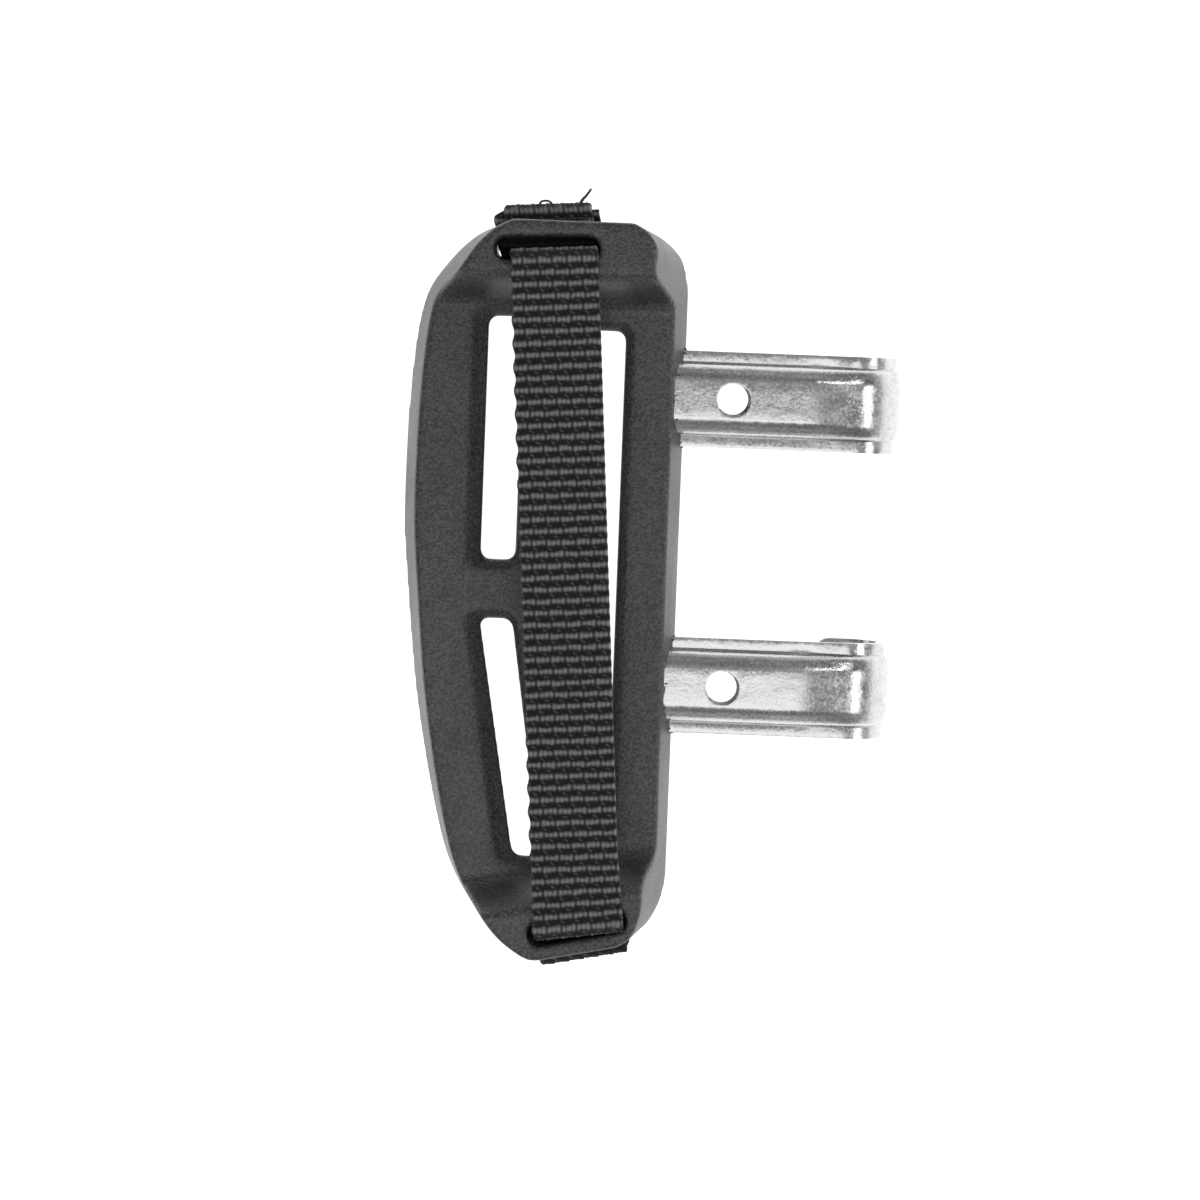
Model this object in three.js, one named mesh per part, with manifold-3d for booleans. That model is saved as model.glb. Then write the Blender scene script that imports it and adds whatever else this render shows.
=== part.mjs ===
// A strapped grip plate on two hook brackets: a hollow moulded plate with a raised hump at each end,
// a webbing strap held in a slot in each hump, and two pressed steel hook brackets moulded into its side.
// Millimetres. The plate lies on its back: +Z is out of the front, +Y along the plate, +X to the hooks.
// The origin is on the plane of the back rim, on the rib across the middle of the plate.

import * as THREE from "three";
import { mergeVertices } from "three/addons/utils/BufferGeometryUtils.js";
import Module from "manifold-3d";

const wasm = await Module();
wasm.setup();

// ---- driving dimensions ----

const gap = 0.3; // clearance where one piece touches another

// Plate
const faceZ = 12; // height of the front face above the back rim
const humpZ = 26; // height of the top of each hump
const wall = 3; // moulded wall
const ribWall = 2.5;
const rightX = 27.7; // straight side that carries the brackets, at the back rim
const topY = 85.6; // upper end rim
const midX = -4.5; // line that both long sides lean towards
const lean = 0.0079; // share of the distance from that line lost per mm of height
const lowerLean = { share: 0.7, from: -62, to: -78 }; // what is left of that at the lower right corner
const upperLean = { share: 1.2, from: 66, to: 74 }; // and what it grows to below the upper right corner
const tipLean = { share: 0.45, from: 76, to: 86 }; // before it falls to this round that corner
const rise = 9; // length of the curve from the face up to a hump
const upperRiseY = 65.5; // where the upper rise leaves the face
const lowerRise = { x: 22, y: -58.5 }; // a point where the lower rise leaves the face
const lowerTilt = THREE.MathUtils.degToRad(12); // the lower end rim and slot are not square
const upperTilt = THREE.MathUtils.degToRad(2);

// Slots for the strap, one in each hump
const slotWidth = 6;
const slotCorner = 2.6;
const upperSlot = { x: -5.7, y: 79.1, tilt: upperTilt, length: 24.8, out: 1 };
const lowerSlot = { x: 7, y: -76.5, tilt: lowerTilt, length: 23.6, out: -1 };
const tunnelZ = 5; // lower end of the wall round each slot
const tunnelWall = 2;
const barZ = 20; // underside of the end bar; the end wall is open below it
const doorLength = 23; // length of that opening
const doorReach = 12; // from the slot out through the end wall
const clear = 1; // how far a cut runs past the face that it opens

// Windows through the face
const windowCorner = 2;
const upperWindow = [[-18.6, 7.2], [-10.7, 7.2], [-10.7, 63.6], [-18.6, 63.6]];
const lowerWindow = [[-8.7, -62], [-2.4, -62], [-10.9, -6.7], [-18.4, -6.7]];
const longWindow = [[4.9, -57], [13.1, -57], [13.1, 61], [4.9, 61]];
const spineX = -2.9; // middle of the bar between the upper and the long window
const spineTop = 70; // where the rib under that bar ends
const ribLeft = -34; // outer end of the rib across the middle, inside the left wall

// Hook brackets
const bracketY = { upper: 46.15, lower: -21.1 };
const bracketWidth = 22.5;
const sheet = 2; // steel thickness
const flangeZ = 1; // underside of the flanges
const crownHeight = 5.5; // crown of the hat section above its flanges
const crownFlat = 4.1; // half widths of the crown: its flat top, its shoulders and its foot
const crownShoulder = 6.3;
const crownFoot = 8.5;
const footBow = 1.2; // how far the curves of the section's side reach across from each of those
const sideBow = 0.6;
const shoulderBow = 0.8;
const flatBow = 0.9;
const tangX = 16.5; // inner end of the embedded tang
const bendX = 67.1; // centre of the hook bend
const bendRadius = 8.5; // inside of the hook
const returnLength = 5.6; // straight end of the hook
const bendCrown = 0.22; // share of the crown height that is left at the bend
const fadeX = 55; // where the crown starts to flatten
const fadeArc = 0.4; // share of the bend where it is flat
const boltX = 38.8;
const boltHole = 8; // clearance hole
const blockReach = 14; // half length of the solid block round each tang

// Strap
const strapWidth = 20;
const strapThick = 1.5;
const strapZ = humpZ + gap + strapThick / 2; // middle of the webbing over the humps
const strapUpper = { x: -4, y: 78.7 }; // middle of the strap where it turns into each slot
const strapLower = { x: 7, y: -77.6 };
const stitchThick = 0.6; // the stitching lies between a stop fold and its bar
const foldZ = barZ - 2 * gap - stitchThick - strapThick / 2; // middle of the top layer of a stop fold
const foldPitch = strapThick + gap; // from one folded layer to the next
const upperFold = { reach: 10.4, back: 11.5 }; // how far each stop fold goes out, and its second layer back
const lowerFold = { reach: 6.2, back: 8.6 };
const foldTuck = 1; // how far its third layer stops short of its tip
const strapTurn = 2.2; // radius of the strap's turns at a slot
const foldSkew = 0.13; // extra slope of the lower fold, which lies along its slot
const turnSkew = 0.06; // extra slope that the strap has already where it turns into that slot
const turnLength = 16; // length of strap over which it takes that up
const lowerSlip = 0.25; // how far each fold moves sideways for each mm that it goes out
const upperSlip = -0.12;

// Stitching that holds each stop fold
const stitchLegs = [-8, -4, 0, 4, 8]; // across the strap
const stitchInset = 4; // from the tip of the fold
const stitchHole = stitchThick + 2 * gap;

// ---- materials ----

const moulding = new THREE.MeshStandardMaterial({ color: 0x242426, roughness: 0.55, metalness: 0 });
const zinc = new THREE.MeshStandardMaterial({ color: 0xd2d3d2, roughness: 0.3, metalness: 1 });
const webbing = new THREE.MeshStandardMaterial({ color: 0x2e2e30, roughness: 0.85, metalness: 0 });
const thread = new THREE.MeshStandardMaterial({ color: 0x1c1c1e, roughness: 0.8, metalness: 0 });

// ---- solids ----

// A closed three.js geometry as a solid that can be joined and cut.
function solid(geometry) {
  const bare = geometry.index ? geometry.toNonIndexed() : geometry.clone();
  bare.deleteAttribute("normal");
  bare.deleteAttribute("uv");
  const merged = mergeVertices(bare, 1e-4);
  const vertProperties = new Float32Array(merged.attributes.position.array);
  const triVerts = new Uint32Array(merged.index.array);
  return new wasm.Manifold(new wasm.Mesh({ numProp: 3, vertProperties, triVerts }));
}

// A solid as a named three.js mesh.
function piece(name, body, material) {
  const m = body.getMesh();
  const geometry = new THREE.BufferGeometry();
  geometry.setAttribute("position", new THREE.BufferAttribute(m.vertProperties, 3));
  geometry.setIndex(new THREE.BufferAttribute(m.triVerts, 1));
  geometry.computeVertexNormals();
  const mesh = new THREE.Mesh(geometry, material);
  mesh.name = name;
  return mesh;
}

// A box between two corners.
function box(low, high) {
  const size = new THREE.Vector3(...high).sub(new THREE.Vector3(...low));
  const geometry = new THREE.BoxGeometry(size.x, size.y, size.z);
  return geometry.translate(low[0] + size.x / 2, low[1] + size.y / 2, low[2] + size.z / 2);
}

// A shape pushed up from z = low to z = high, its outline moved outwards by grow.
function prism(shape, low, high, grow = 0) {
  const skin = 0.01; // thickness of the bevel that carries the offset
  const geometry = new THREE.ExtrudeGeometry(shape, {
    depth: high - low - 2 * skin,
    bevelThickness: skin,
    bevelSize: 0,
    bevelOffset: grow,
    bevelSegments: 1,
    curveSegments: 6,
  });
  return geometry.translate(0, 0, low + skin);
}

// Moves every vertex of a geometry by a function of its place.
function warp(geometry, move) {
  const place = geometry.attributes.position;
  const v = new THREE.Vector3();
  for (let i = 0; i < place.count; i += 1) {
    move(v.fromBufferAttribute(place, i));
    place.setXYZ(i, v.x, v.y, v.z);
  }
  return geometry;
}

// The long sides of the plate lean in as they rise; towards its right corners the lean changes.
function leanIn(v) {
  let share = lean;
  if (v.x > midX) {
    [upperLean, tipLean, lowerLean].forEach((corner) => {
      const reached = THREE.MathUtils.clamp((v.y - corner.from) / (corner.to - corner.from), 0, 1);
      share = THREE.MathUtils.lerp(share, lean * corner.share, reached);
    });
  }
  v.x = midX + (v.x - midX) * (1 - share * v.z);
}

// A polygon with every corner rounded.
function roundedPolygon(corners, radius) {
  const shape = new THREE.Shape();
  const points = corners.map(([x, y]) => new THREE.Vector2(x, y));
  points.forEach((corner, i) => {
    const before = points.at(i - 1).clone().sub(corner).setLength(radius).add(corner);
    const after = points[(i + 1) % points.length].clone().sub(corner).setLength(radius).add(corner);
    if (i === 0) shape.moveTo(before.x, before.y);
    else shape.lineTo(before.x, before.y);
    shape.quadraticCurveTo(corner.x, corner.y, after.x, after.y);
  });
  shape.closePath();
  return shape;
}

// ---- plate ----

// The D shape of the back rim.
function plateOutline() {
  const shape = new THREE.Shape();
  const through = (...points) => shape.splineThru(points.map(([x, y]) => new THREE.Vector2(x, y)));
  shape.moveTo(rightX, -66);
  shape.lineTo(rightX, 71);
  through([25.9, 78.4], [21.4, 83], [16, topY]);
  shape.lineTo(-16, topY);
  through([-22.6, 82.4], [-28.7, 76.4], [-34.3, 66.9], [-36.8, 48], [-37.5, 20]);
  through([-36.1, 1], [-32.7, -27.3], [-26.8, -55.5], [-21.5, -69.4], [-14.1, -78.6], [-5, -84], [0, -84.2]);
  shape.lineTo(19.4, -80.7);
  through([23.4, -78.2], [26.5, -72.4]);
  shape.closePath();
  return shape;
}

// What lies above the face between the two rises, for a given face height and rise positions.
function valley(floor, upperY, lower) {
  const high = humpZ + 20;
  const half = 60;
  const length = 100;
  const crest = humpZ - faceZ + floor;
  const curve = (sign, start) => {
    const shape = new THREE.Shape();
    const middle = start + (sign * rise) / 2;
    const end = start + sign * rise;
    shape.moveTo(start - sign * length, floor);
    shape.lineTo(start, floor);
    shape.bezierCurveTo(middle, floor, middle, crest, end, crest);
    shape.lineTo(end, high);
    shape.lineTo(start - sign * length, high);
    shape.closePath();
    return new THREE.ExtrudeGeometry(shape, { depth: 2 * half, bevelEnabled: false, curveSegments: 8 });
  };
  const alongX = (geometry) => geometry.rotateX(Math.PI / 2).rotateZ(Math.PI / 2).translate(-half, 0, 0);
  const upper = solid(alongX(curve(1, upperY)));
  const tilted = alongX(curve(-1, 0)).rotateZ(lowerTilt).translate(lower.x, lower.y, 0);
  return upper.add(solid(tilted));
}

// A slot as a round-ended prism, its outline moved outwards by grow.
function slotPrism(slot, low, high, grow) {
  const l = slot.length / 2;
  const w = slotWidth / 2;
  const hole = roundedPolygon([[-l, -w], [l, -w], [l, w], [-l, w]], slotCorner);
  return prism(hole, low, high, grow).rotateZ(slot.tilt).translate(slot.x, slot.y, 0);
}

// A slot down through its tunnel, and the opening in the end wall below its bar.
function strapWay(slot) {
  const cut = slotPrism(slot, -clear, humpZ + clear, 0);
  const inner = Math.min(-clear, slot.out * doorReach);
  const outer = Math.max(clear, slot.out * doorReach);
  const door = box([-doorLength / 2, inner, -clear], [doorLength / 2, outer, barZ]);
  door.rotateZ(slot.tilt).translate(slot.x, slot.y, 0);
  return solid(cut).add(solid(door));
}

// What stays inside the hollow back: walls round the windows and slots, ribs, and blocks round the tangs.
function insideWalls(windows) {
  const half = ribWall / 2;
  const across = solid(box([ribLeft, -half, 0], [rightX - clear, half, faceZ]));
  const along = solid(box([spineX - half, 0, 0], [spineX + half, spineTop, faceZ]));
  const rounds = windows.map((shape) => solid(prism(shape, 0, faceZ, ribWall)));
  const blocks = Object.values(bracketY).map((y) =>
    solid(box([longWindow[1][0], y - blockReach, 0], [rightX, y + blockReach, faceZ])),
  );
  const tunnels = [upperSlot, lowerSlot].map((slot) => solid(slotPrism(slot, tunnelZ, humpZ, tunnelWall)));
  return [along, ...rounds, ...tunnels, ...blocks].reduce((all, one) => all.add(one), across);
}

function gripPlate() {
  const outline = plateOutline();
  const windows = [upperWindow, lowerWindow, longWindow].map((w) => roundedPolygon(w, windowCorner));
  const outer = solid(warp(prism(outline, 0, humpZ), leanIn));
  const shell = outer.subtract(valley(faceZ, upperRiseY, lowerRise));
  const inner = solid(warp(prism(outline, -clear, humpZ - wall, -wall), leanIn));
  const lowerInside = { x: lowerRise.x, y: lowerRise.y - wall };
  const hollow = inner
    .subtract(valley(faceZ - wall, upperRiseY + wall, lowerInside))
    .subtract(insideWalls(windows));
  let plate = shell.subtract(hollow);
  windows.forEach((shape) => {
    plate = plate.subtract(solid(prism(shape, -clear, humpZ + clear)));
  });
  plate = plate.subtract(strapWay(upperSlot)).subtract(strapWay(lowerSlot));
  Object.values(bracketY).forEach((y) => {
    plate = plate.subtract(solid(tangShape(gap)).translate([0, y, 0]));
  });
  return piece("grip_plate", plate, moulding);
}

// ---- hook brackets ----

// The hat section of the sheet across the bracket: x across, y up from the underside of the flanges.
function hatSection(grow) {
  const half = bracketWidth / 2;
  const h = crownHeight;
  const shoulderZ = 0.8 * h;
  const side = new THREE.Path();
  side.moveTo(half + grow, 0);
  side.lineTo(crownFoot, 0);
  side.bezierCurveTo(crownFoot - footBow, 0, crownFoot - sideBow, 0.7 * h, crownShoulder, shoulderZ);
  side.bezierCurveTo(crownShoulder - shoulderBow, 0.9 * h, crownFlat + flatBow, h, crownFlat, h);
  const right = side.getPoints(4);
  const left = right.map((p) => new THREE.Vector2(-p.x, p.y));
  const line = [...left, ...right.reverse()];
  const offset = (distance) =>
    line.map((p, i) => {
      const along = line[Math.min(i + 1, line.length - 1)].clone().sub(line[Math.max(i - 1, 0)]);
      return new THREE.Vector2(-along.y, along.x).setLength(distance).add(p);
    });
  const reach = sheet / 2 + grow;
  const ring = [...offset(-reach), ...offset(reach).reverse()];
  return new THREE.Shape(ring.map((p) => p.setY(p.y + sheet / 2)));
}

// The embedded tang, with its pocket's clearance when grow is not 0.
function tangShape(grow) {
  const depth = rightX + 5 - tangX + grow;
  const geometry = new THREE.ExtrudeGeometry(hatSection(grow), { depth, bevelEnabled: false });
  return geometry.rotateX(Math.PI / 2).rotateZ(Math.PI / 2).translate(tangX - grow, 0, flangeZ);
}

// Bends the end of the pressed strip into the hook and flattens its crown there: x is along the
// strip and z up from the underside of its flanges.
function onHook(v) {
  const bent = v.x - bendX;
  const arc = Math.PI * bendRadius;
  const fade = THREE.MathUtils.smoothstep(v.x, fadeX, bendX + fadeArc * arc);
  const crown = Math.max(v.z - sheet, 0);
  const up = v.z - crown * (1 - bendCrown) * fade;
  if (bent <= 0) {
    v.z = flangeZ + up;
    return;
  }
  const turn = Math.min(bent / bendRadius, Math.PI);
  const tail = Math.max(bent - arc, 0);
  v.x = bendX + (bendRadius + up) * Math.sin(turn) - tail;
  v.z = flangeZ - bendRadius + (bendRadius + up) * Math.cos(turn);
}

function hookBracket(name, y) {
  const arc = Math.PI * bendRadius;
  const fadeSteps = 5;
  const arcSteps = 12;
  const stations = [tangX, fadeX];
  for (let i = 1; i <= fadeSteps; i += 1) stations.push(fadeX + ((bendX - fadeX) * i) / fadeSteps);
  for (let i = 1; i <= arcSteps; i += 1) stations.push(bendX + (arc * i) / arcSteps);
  stations.push(bendX + arc + returnLength);
  const steps = stations.length - 1;
  const strip = new THREE.ExtrudeGeometry(hatSection(0), { depth: steps, steps, bevelEnabled: false });
  strip.rotateX(Math.PI / 2).rotateZ(Math.PI / 2);
  warp(strip, (v) => {
    v.x = stations[Math.round(v.x)];
    onHook(v);
  });
  const hole = new THREE.CylinderGeometry(boltHole / 2, boltHole / 2, 2 * crownHeight, 24);
  hole.rotateX(Math.PI / 2).translate(boltX, 0, flangeZ + crownHeight);
  const bracket = solid(strip).subtract(solid(hole));
  return piece(name, bracket.translate([0, y, 0]), zinc);
}

// ---- strap ----

// The middle line of the webbing from one stop fold to the other: x along the plate, y up.
function strapLine() {
  const line = new THREE.Path();
  const end = (at, out, fold) => {
    const tip = at + out * fold.reach;
    const back = tip - out * fold.back;
    const second = foldZ - foldPitch;
    const third = second - foldPitch;
    const down = [[at, strapZ], [at, foldZ], [tip, foldZ], [tip, second]];
    return [...down, [back, second], [back, third], [tip - out * foldTuck, third]];
  };
  const route = [...end(strapLower.y, -1, lowerFold).reverse(), ...end(strapUpper.y, 1, upperFold)];
  const corners = route.map(([x, y]) => new THREE.Vector2(x, y));
  line.moveTo(corners[0].x, corners[0].y);
  for (let i = 1; i < corners.length - 1; i += 1) {
    const corner = corners[i];
    const before = corners[i - 1].clone().sub(corner);
    const after = corners[i + 1].clone().sub(corner);
    const cut = Math.min(strapTurn, before.length() / 2, after.length() / 2);
    before.setLength(cut).add(corner);
    after.setLength(cut).add(corner);
    line.lineTo(before.x, before.y);
    line.quadraticCurveTo(corner.x, corner.y, after.x, after.y);
  }
  line.lineTo(corners.at(-1).x, corners.at(-1).y);
  return line.getPoints(4);
}

// The webbing as a ribbon across the strap's width, leaned to lie from slot to slot.
function strapBody() {
  const line = strapLine().filter((p, i, all) => i === 0 || p.distanceTo(all[i - 1]) > 1e-3);
  const side = (distance) =>
    line.map((p, i) => {
      const before = line[Math.max(i - 1, 0)];
      const after = line[Math.min(i + 1, line.length - 1)];
      const along = after.clone().sub(before);
      return new THREE.Vector2(-along.y, along.x).setLength(distance).add(p);
    });
  const ring = [...side(-strapThick / 2), ...side(strapThick / 2).reverse()];
  const ribbon = new THREE.ExtrudeGeometry(new THREE.Shape(ring), { depth: strapWidth, bevelEnabled: false });
  ribbon.rotateX(Math.PI / 2).rotateZ(Math.PI / 2).translate(-strapWidth / 2, 0, 0);
  return warp(ribbon, alongStrap);
}

// Carries a point beside the plate's middle line to its place on the leaned strap.
function alongStrap(v) {
  const across = v.x;
  const slope = (strapUpper.x - strapLower.x) / (strapUpper.y - strapLower.y);
  const lowerOut = Math.max(strapLower.y - v.y, 0);
  const upperOut = Math.max(v.y - strapUpper.y, 0);
  const turned = THREE.MathUtils.clamp(1 - (v.y - strapLower.y) / turnLength, 0, 1);
  const down = THREE.MathUtils.clamp((strapZ - v.z) / (strapZ - foldZ), 0, 1);
  const skew = turned * THREE.MathUtils.lerp(turnSkew, foldSkew, down);
  v.x = across + strapLower.x + (v.y - strapLower.y) * slope + lowerOut * lowerSlip + upperOut * upperSlip;
  v.y += across * (skew - slope);
}

// One row of stitching through the three layers of a stop fold, with the holes that it runs in.
function stitchRow(end, thick) {
  const out = end === "upper" ? 1 : -1;
  const reach = (end === "upper" ? upperFold : lowerFold).reach - stitchInset;
  const at = (end === "upper" ? strapUpper.y : strapLower.y) + out * reach;
  const face = strapThick / 2 + gap + stitchThick;
  const high = foldZ + face;
  const low = foldZ - 2 * foldPitch - face;
  const half = thick / 2;
  const side = stitchLegs.at(-1) + half;
  const bar = (z) => box([-side, at - half, z], [side, at + half, z + stitchThick]);
  const legs = stitchLegs.map((x) => box([x - half, at - half, low], [x + half, at + half, high]));
  const place = (geometry) => solid(warp(geometry, alongStrap));
  return { bars: [bar(low), bar(high - stitchThick)].map(place), legs: legs.map(place) };
}

function strap() {
  let body = solid(strapBody());
  ["upper", "lower"].forEach((end) => {
    stitchRow(end, stitchHole).legs.forEach((leg) => {
      body = body.subtract(leg);
    });
  });
  return piece("strap", body, webbing);
}

function stopStitching(end) {
  const { bars, legs } = stitchRow(end, stitchThick);
  const body = [...legs, bars[1]].reduce((all, one) => all.add(one), bars[0]);
  return piece(`${end}_stop_stitching`, body, thread);
}

// ---- assembly ----

const group = new THREE.Group();
group.add(gripPlate());
group.add(hookBracket("upper_hook_bracket", bracketY.upper));
group.add(hookBracket("lower_hook_bracket", bracketY.lower));
group.add(strap());
group.add(stopStitching("upper"));
group.add(stopStitching("lower"));

export default group;
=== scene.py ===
"""Looks of a strapped hook-on grip plate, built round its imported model.

The part lies on its back with +Z out of the front face, +Y along the plate and +X towards the hooks.
Shapes are drawn in millimetres and brought to metres when a piece is finished.
"""

import logging
import math
import random
from dataclasses import dataclass, field
from enum import Enum

import bmesh
import bpy
from mathutils import Matrix, Vector, noise
from mathutils.geometry import interpolate_bezier


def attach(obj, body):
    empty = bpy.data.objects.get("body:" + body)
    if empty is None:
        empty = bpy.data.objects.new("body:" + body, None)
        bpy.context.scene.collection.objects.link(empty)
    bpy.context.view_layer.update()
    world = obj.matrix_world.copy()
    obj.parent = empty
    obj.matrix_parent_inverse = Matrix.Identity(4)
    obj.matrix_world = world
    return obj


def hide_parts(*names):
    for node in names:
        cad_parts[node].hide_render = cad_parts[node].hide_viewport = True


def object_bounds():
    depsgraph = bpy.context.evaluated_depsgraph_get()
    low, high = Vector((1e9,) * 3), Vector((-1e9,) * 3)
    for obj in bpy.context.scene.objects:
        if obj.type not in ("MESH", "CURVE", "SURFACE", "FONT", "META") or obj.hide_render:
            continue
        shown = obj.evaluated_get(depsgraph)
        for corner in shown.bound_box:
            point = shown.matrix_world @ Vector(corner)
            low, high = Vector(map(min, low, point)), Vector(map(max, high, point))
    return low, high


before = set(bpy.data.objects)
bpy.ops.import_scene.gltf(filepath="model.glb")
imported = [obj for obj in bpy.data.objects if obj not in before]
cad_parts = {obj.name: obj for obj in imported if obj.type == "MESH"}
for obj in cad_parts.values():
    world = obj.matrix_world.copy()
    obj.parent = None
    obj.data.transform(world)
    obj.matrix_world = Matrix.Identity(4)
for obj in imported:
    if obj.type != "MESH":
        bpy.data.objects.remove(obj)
CAD_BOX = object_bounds()

MM = 0.001
BODY = "root"
LOG = logging.getLogger("grip_plate")


class End(Enum):
    """An end of the plate, and which way along Y it points."""

    UPPER = 1
    LOWER = -1


class Cut(Enum):
    """What a cutter does to the solid it meets."""

    AWAY = "DIFFERENCE"
    JOIN = "UNION"


# ---- shared mesh work ----


def smooth_step(value: float, low: float, high: float) -> float:
    """Return 0 below low, 1 above high and an S-curve between them.

    Args:
        value: Where to read the curve.
        low: Where it leaves 0.
        high: Where it reaches 1.

    Returns:
        The height of the curve, from 0 to 1.
    """
    share = min(max((value - low) / (high - low), 0.0), 1.0)
    return share * share * (3 - 2 * share)


def run_through(points: list[tuple[float, float]], steps: int = 7) -> list[tuple[float, float]]:
    """Return points on a smooth curve through the given ones.

    Args:
        points: The points that the curve passes, in order.
        steps: Points made for each stretch.

    Returns:
        The sampled curve, without its last point.
    """
    held = [Vector(p) for p in points]
    made = []
    for i in range(len(held) - 1):
        before = held[max(i - 1, 0)]
        after = held[min(i + 2, len(held) - 1)]
        start, end = held[i], held[i + 1]
        first = start + (end - before) / 6
        second = end - (after - start) / 6
        made += [tuple(p)[:2] for p in interpolate_bezier(start, first, second, end, steps + 1)[:-1]]
    return made


def flat_face(bm: bmesh.types.BMesh, points: list[tuple[float, ...]], radius: float = 0.0) -> bmesh.types.BMFace:
    """Add one flat face with the given corners.

    Args:
        bm: The mesh that takes the face.
        points: Its corners in order, as (x, y) or (x, y, z).
        radius: Size of the rounding of every corner.

    Returns:
        The face.
    """
    verts = [bm.verts.new((*p, 0.0)[:3]) for p in points]
    bmesh.ops.contextual_create(bm, geom=verts)
    if radius:
        bmesh.ops.bevel(bm, geom=verts, offset=radius, affect="VERTICES", segments=6, profile=0.5, material=-1)
    return max(bm.faces, key=lambda f: f.calc_area())


def push(bm: bmesh.types.BMesh, face: bmesh.types.BMFace, way: tuple[float, float, float]) -> list[bmesh.types.BMVert]:
    """Extrude a face along a vector and make the result face outwards.

    Args:
        bm: The mesh that holds the face.
        face: The face to extrude.
        way: How far and which way it goes.

    Returns:
        The vertices of the moved end.
    """
    made = bmesh.ops.extrude_face_region(bm, geom=[face])["geom"]
    moved = [g for g in made if isinstance(g, bmesh.types.BMVert)]
    bmesh.ops.translate(bm, verts=moved, vec=way)
    bmesh.ops.recalc_face_normals(bm, faces=bm.faces[:])
    return moved


def prism(points: list[tuple[float, float]], low: float, high: float, radius: float = 0.0) -> bmesh.types.BMesh:
    """Return a solid with a flat outline, standing from z = low to z = high.

    Args:
        points: Corners of the outline.
        low: Height of its bottom.
        high: Height of its top.
        radius: Rounding of the corners.

    Returns:
        The solid as a new bmesh.
    """
    bm = bmesh.new()
    face = flat_face(bm, points, radius)
    bmesh.ops.translate(bm, verts=bm.verts[:], vec=(0, 0, low))
    push(bm, face, (0, 0, high - low))
    return bm


def block(low: tuple[float, float, float], high: tuple[float, float, float]) -> bmesh.types.BMesh:
    """Return a box between two corners.

    Args:
        low: Its lowest corner.
        high: Its highest corner.

    Returns:
        The box as a new bmesh.
    """
    bm = bmesh.new()
    bmesh.ops.create_cube(bm, size=1.0)
    size = Vector(high) - Vector(low)
    bmesh.ops.scale(bm, verts=bm.verts[:], vec=size)
    bmesh.ops.translate(bm, verts=bm.verts[:], vec=Vector(low) + size / 2)
    return bm


def turned(bm: bmesh.types.BMesh, angle: float, place: tuple[float, float, float]) -> bmesh.types.BMesh:
    """Turn a bmesh about Z and carry it to a place.

    Args:
        bm: The mesh to move.
        angle: The turn in radians.
        place: Where its origin goes.

    Returns:
        The same bmesh.
    """
    bmesh.ops.rotate(bm, verts=bm.verts[:], cent=(0, 0, 0), matrix=Matrix.Rotation(angle, 3, "Z"))
    bmesh.ops.translate(bm, verts=bm.verts[:], vec=place)
    return bm


def thing(bm: bmesh.types.BMesh, name: str) -> bpy.types.Object:
    """Return a linked object that holds a bmesh, and free the bmesh."""
    mesh = bpy.data.meshes.new(name)
    bm.to_mesh(mesh)
    bm.free()
    obj = bpy.data.objects.new(name, mesh)
    bpy.context.scene.collection.objects.link(obj)
    return obj


def settle(obj: bpy.types.Object) -> None:
    """Turn an object's modifiers into its own mesh."""
    bpy.context.view_layer.update()
    graph = bpy.context.evaluated_depsgraph_get()
    made = bpy.data.meshes.new_from_object(obj.evaluated_get(graph))
    old = obj.data
    obj.modifiers.clear()
    obj.data = made
    bpy.data.meshes.remove(old)


def carve(obj: bpy.types.Object, cutters: list[bmesh.types.BMesh], how: Cut = Cut.AWAY) -> None:
    """Cut or join solids into an object, one after another.

    Args:
        obj: The solid that changes.
        cutters: The solids that it meets; they are used up.
        how: Whether they are cut away or joined.
    """
    tools = []
    for i, bm in enumerate(cutters):
        tool = thing(bm, f"cutter_{i}")
        step = obj.modifiers.new(f"cut_{i}", "BOOLEAN")
        step.operation = how.value
        step.solver = "EXACT"
        step.object = tool
        tools.append(tool)
    settle(obj)
    for tool in tools:
        mesh = tool.data
        bpy.data.objects.remove(tool)
        bpy.data.meshes.remove(mesh)


def finish_piece(
    obj: bpy.types.Object,
    material: bpy.types.Material,
    nodes: tuple[str, ...] = (),
    sharp: float = 180.0,
) -> bpy.types.Object:
    """Bring a piece to metres, dress it and fasten it to the frame.

    Args:
        obj: The piece, drawn in millimetres.
        material: Its finish.
        nodes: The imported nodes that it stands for.
        sharp: Edges that turn by more than this many degrees stay sharp.

    Returns:
        The same object.
    """
    obj.data.transform(Matrix.Scale(MM, 4))
    obj.data.materials.clear()
    obj.data.materials.append(material)
    obj.data.polygons.foreach_set("use_smooth", [True] * len(obj.data.polygons))
    if sharp < 180.0:
        obj.data.set_sharp_from_angle(angle=math.radians(sharp))
    obj.data.update()
    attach(obj, BODY)
    if nodes:
        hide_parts(*nodes)
    LOG.info("%s: %d faces", obj.name, len(obj.data.polygons))
    return obj


# ---- finishes ----


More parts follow.
